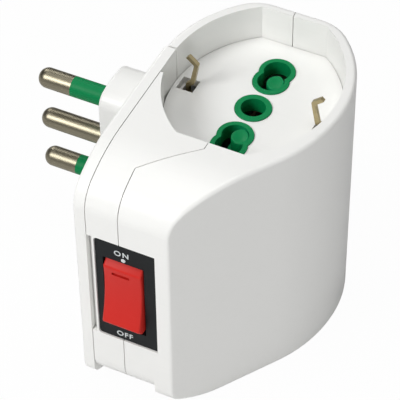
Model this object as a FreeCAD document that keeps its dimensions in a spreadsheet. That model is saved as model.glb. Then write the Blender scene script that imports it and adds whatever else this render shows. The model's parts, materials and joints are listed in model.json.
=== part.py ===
import FreeCAD, Part
import Sketcher
import math
import os


# Driving sizes in millimetres, angles in degrees

SIZES = {
    # housing seen from above, measured from the axis of the two sockets
    "body_height": 68.0,
    "front_reach": 43.75,
    "far_reach": 24.4,
    "ring_radius": 29.8,
    "ring_offset": 7.6,
    "side_radius": 36.0,
    "side_slope": 33.8,
    "far_corner_round": 10.0,
    "rim_round": 1.0,
    "shell_wall": 2.0,
    # curve from the flat top down to the switch panel, and the squarer one below
    "crown_start": 26.5,
    "crown_radius": 29.0,
    "brow_radius": 7.5,
    "foot_start": 32.0,
    "foot_crown_radius": 18.0,
    "foot_brow_radius": 4.0,
    "foot_recess_edge": 4.2,
    # parting line between the two shells
    "well_seam": 0.4,
    "panel_seam": 11.7,
    "jog_start": 24.4,
    "jog_end": 34.8,
    "seam_gap": 0.2,
    "plate_seam": 0.2,
    # plug plate, its boss and the pins
    "plate_proud": 0.4,
    "plate_thickness": 2.9,
    "plate_end": 1.2,
    "plate_gap": 0.5,
    "plate_round": 0.8,
    "backing_inset": 11.5,
    "backing_relief": 0.8,
    "boss_half_width": 7.1,
    "boss_end_radius": 20.0,
    "boss_corner_round": 3.5,
    "boss_length": 13.3,
    "boss_edge_round": 0.8,
    "pin_spacing": 13.0,
    "pin_radius": 2.5,
    "pin_collar_radius": 3.4,
    "pin_core_radius": 2.0,
    "pin_shank_radius": 2.3,
    "pin_groove": 0.3,
    "pin_seat_depth": 0.5,
    "pin_length": 19.0,
    "pin_tip_round": 2.3,
    "pin_fit": 0.03,
    "sleeve_length": 10.0,
    "sleeve_root": 2.0,
    "pin_collar_length": 1.1,
    "earth_root_length": 3.9,
    # socket wells
    "ring_wall": 2.5,
    "flat_wall": 2.05,
    "well_depth": 9.3,
    "plate_window": 6.8,
    "face_thickness": 2.0,
    "face_fit": 0.1,
    "ledge": 1.6,
    "inner_pin_circle": 9.5,
    "outer_pin_circle": 13.0,
    "liner_radius": 4.2,
    "liner_bore": 3.1,
    "liner_lip": 0.3,
    "liner_plate": 1.5,
    "liner_half_width": 6.2,
    "liner_half_length": 18.4,
    "liner_fit": 0.1,
    "earth_bore": 2.85,
    "wing_gap": 0.5,
    "tongue_gap": 2.9,
    "tongue_inner": 4.2,
    "tongue_outer": 7.0,
    # earth clips
    "strap_width": 4.0,
    "clip_gap": 2.8,
    "clip_band": 1.0,
    "clip_width": 1.0,
    "clip_offset": 0.8,
    "clip_knee_height": 0.2,
    "clip_neck_lean": 2.05,
    "clip_neck_height": 1.1,
    "clip_bulge_lean": 3.15,
    "clip_bulge_height": 7.2,
    "clip_bulge_drop": 0.4,
    "clip_tip_lean": 0.9,
    "clip_tip_slant": 0.7,
    "clip_height": 9.2,
    "clip_bend": 0.5,
    "clip_slot_inner_gap": 2.4,
    "clip_slot_outer_gap": 1.7,
    "clip_slot_half": 2.0,
    "strap_drop": 8.2,
    "earth_cup_radius": 3.6,
    "earth_cup_bore": 2.6,
    "earth_cup_length": 9.0,
    # shutters
    "shutter_gap": 0.3,
    "shutter_thickness": 1.4,
    "shutter_disc": 2.7,
    "shutter_offset": 1.1,
    "bridge_inner": 4.6,
    "bridge_outer": 7.6,
    "bridge_half_length": 12.6,
    "rail_width": 1.2,
    "rail_lip": 1.0,
    "rail_start": 4.0,
    "spring_stop_width": 1.0,
    "spring_place": 5.6,
    "spring_radius": 0.55,
    "spring_wire": 0.12,
    "spring_turns": 9.0,
    # contacts and strips
    "contact_gap": 4.4,
    "strip": 0.8,
    "contact_inner": 5.8,
    "contact_outer": 16.5,
    "contact_top": 9.6,
    "contact_rest": 4.7,
    "contact_lead": 1.6,
    "contact_flare": 0.7,
    "busbar_place": 19.0,
    "busbar_half_width": 3.0,
    "link_half_width": 1.7,
    "link_place": 4.9,
    # switch
    "window_rise": 1.3,
    "window_height": 31.8,
    "window_corner_gap": 3.33,
    "window_plate_gap": 1.8,
    "window_round": 1.0,
    "window_strip": 0.45,
    "groove_depth": 1.5,
    "window_fit": 0.15,
    "bezel_recess": 0.3,
    "flange_margin": 1.2,
    "flange_right_margin": 0.6,
    "flange_thickness": 1.6,
    "barrel_wall": 1.2,
    "barrel_depth": 16.0,
    "rocker_shift": 0.5,
    "rocker_side_gap": 2.75,
    "rocker_gap": 0.35,
    "rocker_tilt": 6.0,
    "rocker_drop": 0.8,
    "pivot_depth": 5.5,
    "ridge_reach": 7.0,
    "ridge_half": 8.4,
    "face_sag": 0.9,
    "rocker_round": 0.4,
    "rocker_half": 10.2,
    "rocker_shoulder": 5.2,
    "rocker_skirt": 3.0,
    "rocker_tail": 2.5,
    "rocker_tail_half": 4.0,
    "pivot_radius": 1.2,
    "pivot_fit": 0.05,
    "lever_depth": 4.8,
    "lever_half": 6.5,
    "lever_thickness": 0.8,
    "lever_half_width": 2.0,
    "lever_tilt": 6.0,
    "fixed_plate_half": 1.6,
    "lever_gap": 0.3,
    "button_radius": 1.0,
    "button_height": 0.6,
    "button_place": 5.4,
    "slot_fit": 0.05,
    "bimetal_thickness": 0.6,
    "bimetal_place": 9.4,
    "bimetal_length": 5.4,
    # screws
    "screw_radius": 1.45,
    "screw_head_radius": 2.7,
    "screw_head_height": 1.8,
    "screw_end": 1.0,
    "pilot_extra": 1.0,
    "screw_fit": 0.05,
    "post_radius": 2.8,
    "front_screw_place": 32.5,
    "front_screw_inset": 8.5,
    "middle_screw_place": 14.6,
    "front_roof_wall": 1.26,
}


class Size:
    """A number that keeps the formula of the sheet's cells that it came from."""

    def __init__(self, value, formula):
        self.value = value
        self.formula = formula

    def __add__(self, other):
        other = as_size(other)
        return Size(self.value + other.value, f"({self.formula} + {other.formula})")

    def __sub__(self, other):
        other = as_size(other)
        return Size(self.value - other.value, f"({self.formula} - {other.formula})")

    def __mul__(self, other):
        other = as_size(other)
        return Size(self.value * other.value, f"({self.formula} * {other.formula})")

    def __truediv__(self, other):
        other = as_size(other)
        return Size(self.value / other.value, f"({self.formula} / {other.formula})")

    def __neg__(self):
        return Size(-self.value, f"(0 - {self.formula})")

    def __radd__(self, other):
        return as_size(other) + self

    def __rsub__(self, other):
        return as_size(other) - self

    def __rmul__(self, other):
        return as_size(other) * self


def as_size(number):
    return number if isinstance(number, Size) else Size(float(number), f"{float(number)}")


def root(size):
    return Size(math.sqrt(size.value), f"sqrt({size.formula})")


def sine(angle):
    return Size(math.sin(math.radians(angle.value)), f"sin({angle.formula} * 1 deg)")


def cosine(angle):
    return Size(math.cos(math.radians(angle.value)), f"cos({angle.formula} * 1 deg)")


class Sheet:
    """The document's spreadsheet: each cell is an attribute that gives a Size."""

    def __init__(self, document, sizes):
        self.cells = document.addObject("Spreadsheet::Sheet", "Sizes")
        for row, (name, number) in enumerate(sizes.items(), start=1):
            self.cells.set(f"A{row}", name)
            self.cells.set(f"B{row}", str(number))
            self.cells.setAlias(f"B{row}", name)
            setattr(self, name, Size(float(number), f"Sizes.{name}"))


doc = FreeCAD.newDocument("DoubleSocketAdapter")
s = Sheet(doc, SIZES)
doc.recompute()


# Sketches, pads and pockets

ORIGIN_POINT = -1
ACROSS_AXIS = -1
UPRIGHT_AXIS = -2
START, END, CENTRE = 1, 2, 3
TINY = 1e-9


def place_point(sketch, item, point, place):
    """Hold one point of a sketch at a bound distance from the sketch's origin."""
    for kind, axis, size in (("DistanceX", UPRIGHT_AXIS, place[0]), ("DistanceY", ACROSS_AXIS, place[1])):
        size = as_size(size)
        if abs(size.value) < TINY:
            sketch.addConstraint(Sketcher.Constraint("PointOnObject", item, point, axis))
        else:
            index = sketch.addConstraint(
                Sketcher.Constraint(kind, ORIGIN_POINT, 1, item, point, size.value))
            sketch.setExpression(f"Constraints[{index}]", size.formula)


def bind_radius(sketch, item, radius):
    radius = as_size(radius)
    index = sketch.addConstraint(Sketcher.Constraint("Radius", item, radius.value))
    sketch.setExpression(f"Constraints[{index}]", radius.formula)


def arc_between(start, end, radius, turn):
    """The short arc from start to end; a turn of 1 runs anticlockwise, -1 clockwise."""
    chord = end - start
    middle = (start + end) * 0.5
    rise = math.sqrt(max(radius ** 2 - (chord.Length / 2) ** 2, 0.0))
    normal = FreeCAD.Vector(-chord.y, chord.x, 0).normalize()
    centre = middle + normal * rise * turn
    first, last = (start, end) if turn > 0 else (end, start)
    angles = [math.atan2(point.y - centre.y, point.x - centre.x) for point in (first, last)]
    if angles[1] < angles[0]:
        angles[1] += 2 * math.pi
    circle = Part.Circle(centre, FreeCAD.Vector(0, 0, 1), radius)
    return Part.ArcOfCircle(circle, angles[0], angles[1])


def draw_loop(sketch, corners, arcs):
    """A closed chain through the corners; arcs gives an edge's radius and turn by its index."""
    points = [FreeCAD.Vector(as_size(x).value, as_size(y).value, 0) for x, y in corners]
    items = []
    for index, start in enumerate(points):
        end = points[(index + 1) % len(points)]
        if index in arcs:
            radius, turn = arcs[index]
            item = sketch.addGeometry(arc_between(start, end, as_size(radius).value, turn), False)
            items.append((item, START if turn > 0 else END, END if turn > 0 else START))
        else:
            item = sketch.addGeometry(Part.LineSegment(start, end), False)
            items.append((item, START, END))
    for index, (item, head, tail) in enumerate(items):
        after, after_head, _ = items[(index + 1) % len(items)]
        sketch.addConstraint(Sketcher.Constraint("Coincident", item, tail, after, after_head))
        place_point(sketch, item, head, corners[index])
        if index in arcs:
            bind_radius(sketch, item, arcs[index][0])


def draw_circle(sketch, x, y, radius):
    centre = FreeCAD.Vector(as_size(x).value, as_size(y).value, 0)
    circle = Part.Circle(centre, FreeCAD.Vector(0, 0, 1), as_size(radius).value)
    item = sketch.addGeometry(circle, False)
    place_point(sketch, item, CENTRE, (x, y))
    bind_radius(sketch, item, radius)


def loop(corners, arcs=None):
    return ("loop", corners, arcs or {})


def box(x0, x1, y0, y1):
    return loop([(x0, y0), (x1, y0), (x1, y1), (x0, y1)])


def disc(x, y, radius):
    return ("disc", x, y, radius)


PLANES = {"XY": 1, "YZ": 1, "XZ": -1}


def new_body(label, x=0, y=0, z=0):
    """A body whose own origin lies on the socket axis, at the height of the lower rim."""
    body = doc.addObject("PartDesign::Body", label)
    body.Label = label
    for axis, size in (("x", axis_x + x), ("y", axis_y + y), ("z", as_size(z))):
        body.setExpression(f"Placement.Base.{axis}", size.formula)
    return body


def new_sketch(body, name, plane, start, shapes):
    sketch = body.newObject("Sketcher::SketchObject", name)
    support = [item for item in body.Origin.OriginFeatures if item.Role == f"{plane}_Plane"][0]
    sketch.AttachmentSupport = [(support, "")]
    sketch.MapMode = "FlatFace"
    offset = as_size(start) * PLANES[plane]
    sketch.setExpression("AttachmentOffset.Base.z", offset.formula)
    for shape in shapes:
        if shape[0] == "loop":
            draw_loop(sketch, shape[1], shape[2])
        else:
            draw_circle(sketch, *shape[1:])
    return sketch


def extrude(body, name, plane, shapes, start, end, removes=False):
    """Add or remove what the shapes sweep from start to end along the plane's normal axis."""
    sketch = new_sketch(body, f"{name}_sketch", plane, start, shapes)
    kind = "PartDesign::Pocket" if removes else "PartDesign::Pad"
    before = body.Shape.Volume if removes else 0.0
    feature = body.newObject(kind, name)
    feature.Profile = sketch
    length = as_size(end) - as_size(start)
    feature.setExpression("Length", length.formula)
    feature.Reversed = (PLANES[plane] < 0) != removes
    doc.recompute()
    if removes and body.Shape.Volume > before - TINY:
        raise ValueError(f"{body.Label}: {name} removes nothing")
    return feature


def add(body, name, plane, shapes, start, end):
    return extrude(body, name, plane, shapes, start, end)


def cut(body, name, plane, shapes, start, end):
    return extrude(body, name, plane, shapes, start, end, removes=True)


def round_edges(body, name, radius, test):
    """Fillet each edge of the body for which the test of its middle and its edge holds."""
    base = body.Tip
    names = []
    for number, edge in enumerate(base.Shape.Edges, start=1):
        middle = edge.valueAt((edge.FirstParameter + edge.LastParameter) / 2)
        if test(middle, edge):
            names.append(f"Edge{number}")
    fillet = body.newObject("PartDesign::Fillet", name)
    fillet.Base = (base, names)
    fillet.setExpression("Radius", as_size(radius).formula)
    body.Tip = fillet
    doc.recompute()
    return fillet


def near(value, size, slack=0.01):
    return abs(value - as_size(size).value) < slack


def is_upright(edge):
    first, last = edge.Vertexes[0].Point, edge.Vertexes[-1].Point
    return near(first.x, last.x) and near(first.y, last.y) and not near(first.z, last.z)


# Places that several pieces share

side_reach = s.ring_radius - s.ring_offset
plate_back = side_reach + s.plate_proud
pin_tip = plate_back + s.boss_length + s.pin_length
mid = s.body_height / 2
seam_a = -plate_back + s.plate_thickness
pin_root = -seam_a - s.pin_collar_length
earth_pin_root = -seam_a - s.earth_root_length
pivot_y = -s.front_reach + s.pivot_depth
rocker_reach = (s.ridge_reach * cosine(s.rocker_tilt) + s.ridge_half * sine(s.rocker_tilt)
                - s.pivot_depth + s.front_reach)
axis_x = (pin_tip - side_reach) / 2
axis_y = (rocker_reach - s.far_reach) / 2
floor_depth = s.well_depth + s.face_thickness
well_radius = s.ring_radius - s.ring_wall
well_reach = well_radius - s.ring_offset
clip_foot = well_reach - s.clip_gap
contact_depth = mid - s.contact_rest
window_centre = mid + s.window_rise
pivot_z = window_centre - s.rocker_drop
window_low = window_centre - s.window_height / 2
window_high = window_centre + s.window_height / 2
SIDES = {"top": 1, "bottom": -1}


def slope_wall_x(reach, inset):
    """Where the sloping side wall stands at a distance in front of the socket axis."""
    bend_centre = side_reach - s.side_radius
    slope_x = cosine(s.side_slope)
    return (bend_centre * slope_x + s.side_radius - inset - sine(s.side_slope) * reach) / slope_x


window_left = -seam_a - s.window_plate_gap
window_right = s.window_corner_gap - slope_wall_x(s.front_reach, 0)
rocker_centre = (window_left + window_right) / 2 + s.rocker_shift
rocker_half_width = (window_left - window_right) / 2 - s.rocker_side_gap


def from_rim(side, depth):
    """The height that lies depth under the rim of the top or the bottom socket."""
    return s.body_height - depth if side == "top" else as_size(depth)


def span(side, near_rim, far_rim):
    """Two heights in rising order, given as depths under the rim of one socket."""
    ends = [from_rim(side, near_rim), from_rim(side, far_rim)]
    return ends[::-1] if side == "top" else ends


def plan_outline(inset, left, left_end):
    """The housing from above, drawn in by inset, with its flat side at left up to left_end."""
    ring = s.ring_radius - inset
    far = s.far_reach - inset
    front = s.front_reach - inset
    bend = s.side_radius - inset
    bend_centre = side_reach - s.side_radius
    slope_x = cosine(s.side_slope)
    slope_y = sine(s.side_slope)
    flat = root(ring * ring - far * far) - s.ring_offset
    left_x = s.ring_offset - root(ring * ring - left_end * left_end)
    corners = [
        (left, -front),
        (slope_wall_x(front, inset), -front),
        (bend_centre + bend * slope_x, -(bend * slope_y)),
        (side_reach - inset, 0),
        (flat, far),
        (-flat, far),
        (left_x, left_end),
        (left, left_end),
    ]
    arcs = {2: (bend, 1), 3: (ring, 1), 5: (ring, 1)}
    return loop(corners, arcs)


def well_outline(inset):
    """The socket's recess from above: two long arcs joined by a flat at each end."""
    radius = well_radius - inset
    flat_y = s.far_reach - s.flat_wall - inset
    flat_x = root(radius * radius - flat_y * flat_y) - s.ring_offset
    widest = radius - s.ring_offset
    corners = [
        (flat_x, -flat_y),
        (widest, 0),
        (flat_x, flat_y),
        (-flat_x, flat_y),
        (-widest, 0),
        (-flat_x, -flat_y),
    ]
    arcs = {0: (radius, 1), 1: (radius, 1), 3: (radius, 1), 4: (radius, 1)}
    return loop(corners, arcs)


CROWN = (s.crown_start, s.crown_radius, s.brow_radius)
FOOT = (s.foot_start, s.foot_crown_radius, s.foot_brow_radius)


def crown_points(start, crown, brow):
    """Depths and reaches of the curve from the flat rim to the upright panel."""
    start_y = -start
    centre_y = -s.front_reach + brow
    run = start_y - centre_y
    reach = crown - brow
    fall = root(reach * reach - run * run)
    share = crown / reach
    tangent_y = start_y - run * share
    return {
        "start": (start_y, as_size(0)),
        "tangent": (tangent_y, crown - fall * share),
        "panel": (-s.front_reach, crown - fall),
    }


def crown_waste(side, curve_sizes):
    """What the front curve takes off a block, seen along the X axis."""
    curve = crown_points(*curve_sizes)
    crown, brow = curve_sizes[1:]
    outside = s.front_reach + s.shell_wall
    beyond = -s.shell_wall
    corners = [
        (curve["start"][0], from_rim(side, curve["start"][1])),
        (curve["tangent"][0], from_rim(side, curve["tangent"][1])),
        (-s.front_reach, from_rim(side, curve["panel"][1])),
        (-outside, from_rim(side, curve["panel"][1])),
        (-outside, from_rim(side, beyond)),
        (curve["start"][0], from_rim(side, beyond)),
    ]
    turn = SIDES[side]
    return loop(corners, {0: (crown, turn), 1: (brow, turn)})


def seam_outline(margin, outer):
    """The half of the plan that lies beyond the stepped seam between the two shells."""
    gap = s.seam_gap / 2 * (-1 if outer else 1)
    far = s.far_reach + margin
    front = s.front_reach + margin
    path = [
        (-s.well_seam + gap, far),
        (-s.well_seam + gap, -s.jog_start),
        (-s.panel_seam + gap, -s.jog_end),
        (-s.panel_seam + gap, -front),
    ]
    away = side_reach + margin if outer else -(plate_back + margin)
    return loop(path + [(away, -front), (away, far)])


# Housing shells

backing_reach = root(s.ring_radius * s.ring_radius
                     - (s.ring_offset - seam_a) * (s.ring_offset - seam_a))
left_end = s.plate_end + s.plate_gap
panel_inner = -s.front_reach + s.shell_wall
OUTSIDE = s.shell_wall
SCREWS = [
    (-s.front_screw_place, as_size(s.front_screw_inset)),
    (-s.front_screw_place, s.body_height - s.front_screw_inset),
    (-s.middle_screw_place, mid),
]


def bend_wall_x(reach, inset):
    bend = s.side_radius - inset
    return side_reach - s.side_radius + root(bend * bend - reach * reach)


def cut_cavity(body):
    """The room behind both sockets, and the room behind the switch panel."""
    open_left = seam_a - OUTSIDE
    low = floor_depth + s.ledge
    cut(body, "middle_room", "XY", [plan_outline(s.shell_wall, open_left, left_end)],
        low, s.body_height - low)
    front = s.front_reach - s.shell_wall
    room = loop([
        (open_left, -front),
        (slope_wall_x(front, s.shell_wall), -front),
        (slope_wall_x(s.far_reach, s.shell_wall), -s.far_reach),
        (open_left, -s.far_reach),
    ])
    roof = front_roof()
    cut(body, "front_room", "XY", [room], roof, s.body_height - roof)


def front_roof():
    """How deep the room behind the panel starts, so that a wall stays under the front curve."""
    inner_round = s.brow_radius - s.shell_wall
    drop = root(s.brow_radius * s.brow_radius - inner_round * inner_round)
    return crown_points(*CROWN)["panel"][1] - drop + s.front_roof_wall


def cut_wells(body):
    """Both sockets' recesses, with a ledge that carries the socket's face."""
    for side in SIDES:
        outside = -OUTSIDE
        cut(body, f"{side}_well", "XY", [well_outline(0)], *span(side, outside, floor_depth))
        deep = floor_depth + s.ledge + OUTSIDE
        cut(body, f"{side}_ledge", "XY", [well_outline(s.ledge)], *span(side, outside, deep))


def cut_window(body):
    """The opening of the switch in the front panel."""
    window = box(-window_left, -window_right, window_low, window_high)
    cut(body, "switch_window", "XZ", [window], -s.front_reach - OUTSIDE, panel_inner + OUTSIDE)


def add_posts(body, places, start, ends):
    for number, ((y, z), end) in enumerate(zip(places, ends), start=1):
        add(body, f"post_{number}", "YZ", [disc(y, z, s.post_radius)], start, end)
        cut(body, f"post_{number}_bore", "YZ", [disc(y, z, s.screw_radius + s.screw_fit)],
            start - OUTSIDE, -s.screw_end + s.pilot_extra)


def make_blank():
    """The whole housing as one soft-edged block, before it is parted and hollowed."""
    body = doc.addObject("PartDesign::Body", "housing_block")
    left = seam_a + s.plate_seam
    add(body, "block", "XY", [plan_outline(0, left, left_end)], 0, s.body_height)
    round_edges(body, "far_corners", s.far_corner_round,
                lambda point, edge: is_upright(edge) and near(point.y, s.far_reach))
    right = side_reach + OUTSIDE
    cut(body, "crown", "YZ", [crown_waste("top", CROWN)], left - OUTSIDE, right)
    cut(body, "foot", "YZ", [crown_waste("bottom", FOOT)], left - OUTSIDE, right)
    soft = doc.addObject("Part::Fillet", "soft_edges")
    soft.Base = body.Tip
    soft.Edges = [
        (number, s.rim_round.value, s.rim_round.value)
        for number, edge in enumerate(body.Tip.Shape.Edges, start=1)
        if is_outer_edge(edge)
    ]
    doc.recompute()
    return soft


def is_outer_edge(edge):
    """Edges of both rims, of the side wall beside the front curves, and the front corner."""
    point = edge.valueAt((edge.FirstParameter + edge.LastParameter) / 2)
    if point.x < (seam_a + s.plate_seam).value + 0.1:
        return False
    if is_upright(edge):
        return near(point.y, -s.front_reach)
    ends = [vertex.Point for vertex in edge.Vertexes]
    return not near(ends[0].y, ends[-1].y) or point.y > 0


def shell_blank(label):
    body = new_body(label)
    body.BaseFeature = housing_blank
    doc.recompute()
    return body


housing_blank = make_blank()


def make_outer_shell():
    body = shell_blank("outer_shell")
    cut(body, "parting", "XY", [seam_outline(OUTSIDE, outer=False)], -OUTSIDE,
        s.body_height + OUTSIDE)
    cut_foot_recess(body)
    cut_cavity(body)
    cut_wells(body)
    cut_window(body)
    start = -s.panel_seam + s.seam_gap / 2
    reach = s.front_screw_place + s.post_radius
    front_end = slope_wall_x(reach, s.shell_wall / 2)
    add_posts(body, SCREWS[:2], start, [front_end, front_end])
    y, z = SCREWS[2]
    reach = s.middle_screw_place + s.post_radius
    add(body, "long_post", "YZ", [disc(y, z, s.post_radius)], seam_a,
        bend_wall_x(reach, s.shell_wall / 2))
    cut(body, "long_bore", "YZ", [disc(y, z, s.screw_radius + s.screw_fit)],
        seam_a - OUTSIDE, -s.screw_end + s.pilot_extra)
    return body


def cut_foot_recess(body):
    """The panel's lower edge curves in further than the plate and the side wall beside it."""
    cut(body, "foot_recess", "YZ", [crown_waste("bottom", CROWN)], seam_a - OUTSIDE,
        -s.foot_recess_edge)


def make_inner_shell():
    body = shell_blank("inner_shell")
    cut(body, "parting", "XY", [seam_outline(OUTSIDE, outer=True)], -OUTSIDE,
        s.body_height + OUTSIDE)
    cut_foot_recess(body)
    cut_cavity(body)
    cut_wells(body)
    cut_window(body)
    round_edges(body, "window_corners", s.window_round,
                lambda point, edge: near(point.x, -window_left)
                and near(edge.Length, s.shell_wall))
    groove = box(seam_a - OUTSIDE, -window_left - s.window_strip, window_low, window_high)
    cut(body, "window_groove", "XZ", [groove], -s.front_reach - OUTSIDE,
        -s.front_reach + s.groove_depth)
    window_x = s.ring_offset - root(well_radius * well_radius - s.plate_window * s.plate_window)
    for side in SIDES:
        cut(body, f"{side}_plate_window", "XY",
            [box(seam_a - OUTSIDE, window_x, -s.plate_window, left_end)],
            *span(side, -OUTSIDE, floor_depth))
    low = s.backing_inset - s.plate_gap
    high = s.body_height - low
    cut(body, "backing_seat", "XY",
        [box(-plate_back, seam_a + s.backing_relief, -s.plate_window, backing_reach + s.plate_gap)],
        low, high)
    end = -s.panel_seam - s.seam_gap / 2
    for number, (y, z) in enumerate(SCREWS[:2], start=1):
        room = disc(y, z, s.post_radius + s.screw_fit)
        cut(body, f"post_room_{number}", "YZ", [room], end, OUTSIDE)
    add_posts(body, SCREWS[:2], seam_a, [end, end])
    return body


def plate_outline():
    """The plug plate seen along the X axis."""
    top = crown_points(*CROWN)
    foot = crown_points(*FOOT)
    corners = [
        (foot["start"][0], 0),
        (s.plate_end, 0),
        (s.plate_end, s.body_height),
        (top["start"][0], s.body_height),
        (top["tangent"][0], s.body_height - top["tangent"][1]),
        (-s.front_reach, s.body_height - top["panel"][1]),
        (-s.front_reach, foot["panel"][1]),
        (foot["tangent"][0], foot["tangent"][1]),
    ]
    arcs = {
        3: (s.crown_radius, 1),
        4: (s.brow_radius, 1),
        6: (s.foot_brow_radius, 1),
        7: (s.foot_crown_radius, 1),
    }
    return loop(corners, arcs)


def boss_outline():
    half = s.boss_half_width
    rise = root(s.boss_end_radius * s.boss_end_radius - half * half)
    corners = [
        (-half, mid - rise),
        (half, mid - rise),
        (half, mid + rise),
        (-half, mid + rise),
    ]
    return loop(corners, {0: (s.boss_end_radius, 1), 2: (s.boss_end_radius, 1)})


def pin_places():
    return {"line": mid + s.pin_spacing, "earth": mid, "neutral": mid - s.pin_spacing}


def make_plug_plate():
    body = new_body("plug_plate")
    boss_face = -plate_back - s.boss_length
    add(body, "plate", "YZ", [plate_outline()], -plate_back, seam_a)
    back = -plate_back.value
    round_edges(body, "plate_edge", s.plate_round, lambda point, edge: near(point.x, back))
    tab = box(s.plate_end - s.plate_round, backing_reach, s.backing_inset,
              s.body_height - s.backing_inset)
    add(body, "backing_tab", "YZ", [tab], -plate_back, seam_a)
    add(body, "boss", "YZ", [boss_outline()], boss_face, -plate_back)
    half = s.boss_half_width
    round_edges(body, "boss_corners", s.boss_corner_round,
                lambda point, edge: near(abs(point.y), half) and near(edge.Length, s.boss_length)
                and point.x < back)
    round_edges(body, "boss_edge", s.boss_edge_round,
                lambda point, edge: near(point.x, boss_face))
    inner = seam_a + OUTSIDE
    for name, z in pin_places().items():
        cut(body, f"{name}_bore", "YZ", [disc(0, z, s.pin_shank_radius + s.pin_fit)],
            boss_face - OUTSIDE, inner)
        cut(body, f"{name}_seat", "YZ", [disc(0, z, s.pin_radius + s.pin_fit)],
            boss_face - OUTSIDE, boss_face + s.pin_seat_depth)
    for number, (y, z) in enumerate(SCREWS, start=1):
        cut(body, f"screw_{number}", "YZ", [disc(y, z, s.screw_radius + s.screw_fit)],
            -plate_back - OUTSIDE, inner)
        cut(body, f"screw_{number}_head", "YZ", [disc(y, z, s.screw_head_radius + s.screw_fit)],
            -plate_back - OUTSIDE, -plate_back + s.screw_head_height)
    return body


# Plug pins

def make_pin(name):
    """One plug pin: a collar behind the plate, a stem through the boss and a domed tip."""
    z = pin_places()[name]
    body = new_body(f"{name}_pin", 0, 0, z)
    boss_face = -plate_back - s.boss_length
    tip = boss_face - s.pin_length
    add(body, "collar", "YZ", [disc(0, 0, s.pin_collar_radius)], seam_a, -pin_root)
    if name == "earth":
        add(body, "root", "YZ", [disc(0, 0, s.pin_core_radius)], seam_a, -earth_pin_root)
        shank = boss_face - s.pin_groove
        add(body, "shank", "YZ", [disc(0, 0, s.pin_shank_radius)], shank, seam_a)
        add(body, "stem", "YZ", [disc(0, 0, s.pin_radius)], tip, shank)
    else:
        neck = boss_face + s.sleeve_root
        sleeve_end = boss_face - s.sleeve_length
        add(body, "shank", "YZ", [disc(0, 0, s.pin_shank_radius)], neck, seam_a)
        add(body, "neck", "YZ", [disc(0, 0, s.pin_core_radius)], sleeve_end, neck)
        add(body, "tip", "YZ", [disc(0, 0, s.pin_radius)], tip, sleeve_end)
    round_edges(body, "dome", s.pin_tip_round, lambda point, edge: near(point.x, tip))
    return body


def make_sleeve(name):
    body = new_body(f"{name}_pin_sleeve", 0, 0, pin_places()[name])
    boss_face = -plate_back - s.boss_length
    start = boss_face - s.sleeve_length
    end = boss_face + s.sleeve_root
    groove = boss_face - s.pin_groove
    add(body, "tube", "YZ", [disc(0, 0, s.pin_radius)], start, groove)
    add(body, "root", "YZ", [disc(0, 0, s.pin_shank_radius)], groove, end)
    cut(body, "bore", "YZ", [disc(0, 0, s.pin_core_radius)], start - OUTSIDE, end + OUTSIDE)
    return body


# Socket faces, hole liners and shutters

POLES = {"line": -1, "neutral": 1}


def make_face(side):
    """The floor of one socket's recess, with its pin holes and the slots of the earth clips."""
    body = new_body(f"{side}_socket_face")
    add(body, "plate", "XY", [well_outline(s.face_fit)], *span(side, s.well_depth, floor_depth))
    through = span(side, s.well_depth - OUTSIDE, floor_depth + OUTSIDE)
    for number, place in enumerate(hole_places(), start=1):
        cut(body, f"hole_{number}", "XY", [disc(0, place, s.liner_radius + s.liner_fit)], *through)
    for sign in (-1, 1):
        slot_inner = clip_foot - s.clip_slot_inner_gap
        slot_outer = clip_foot + s.clip_slot_outer_gap
        slot = box(*sorted_span(sign * slot_inner, sign * slot_outer),
                   s.clip_offset - s.clip_slot_half, s.clip_offset + s.clip_slot_half)
        cut(body, "slot", "XY", [slot], *through)
    return body


def hole_places():
    """Where the holes lie on the Y axis: the earth hole and two that overlap for each pole."""
    places = [as_size(0)]
    for sign in POLES.values():
        places += [sign * s.inner_pin_circle, sign * s.outer_pin_circle]
    return places


def sorted_span(first, second):
    first, second = as_size(first), as_size(second)
    return (first, second) if first.value < second.value else (second, first)


liner_under = floor_depth + s.liner_plate
shutter_top = liner_under + s.shutter_gap
shutter_under = shutter_top + s.shutter_thickness
lip_top = shutter_under + s.shutter_gap
lip_under = lip_top + s.rail_lip
rail_inner = s.bridge_half_length + s.shutter_gap
rail_outer = rail_inner + s.rail_width
ledge_radius = well_radius - s.ledge
wing_reach = (root(ledge_radius * ledge_radius - rail_outer * rail_outer) - s.ring_offset
              - s.wing_gap)
tongue_reach = well_reach - s.tongue_gap


def make_liner(side):
    """Green lining of the holes, with the plate and rails under it that guide the shutter."""
    body = new_body(f"{side}_hole_liner")
    plate = span(side, floor_depth, liner_under)
    core = box(-s.liner_half_width, s.liner_half_width, -s.liner_half_length, s.liner_half_length)
    add(body, "plate", "XY", [core], *plate)
    add(body, "wing", "XY", [box(0, wing_reach, -rail_outer, rail_outer)], *plate)
    add(body, "tongue", "XY", [box(0, tongue_reach, s.tongue_inner, s.tongue_outer)], *plate)
    collar = span(side, s.well_depth - s.liner_lip, floor_depth)
    for number, place in enumerate(hole_places(), start=1):
        add(body, f"collar_{number}", "XY", [disc(0, place, s.liner_radius)], *collar)
    through = span(side, s.well_depth - s.liner_lip - OUTSIDE, liner_under + OUTSIDE)
    for number, place in enumerate(hole_places(), start=1):
        bore = s.earth_bore if number == 1 else s.liner_bore
        cut(body, f"bore_{number}", "XY", [disc(0, place, bore)], *through)
    for sign in (-1, 1):
        rail = box(s.rail_start, wing_reach, *sorted_span(sign * rail_inner, sign * rail_outer))
        add(body, "rail", "XY", [rail], *span(side, liner_under, lip_under))
        lip = box(s.rail_start, wing_reach,
                  *sorted_span(sign * (rail_inner - s.rail_lip), sign * rail_inner))
        add(body, "lip", "XY", [lip], *span(side, lip_top, lip_under))
    stop = box(tongue_reach - s.spring_stop_width, tongue_reach, s.tongue_inner, s.tongue_outer)
    add(body, "spring_stop", "XY", [stop], *span(side, liner_under, shutter_under))
    return body


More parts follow.
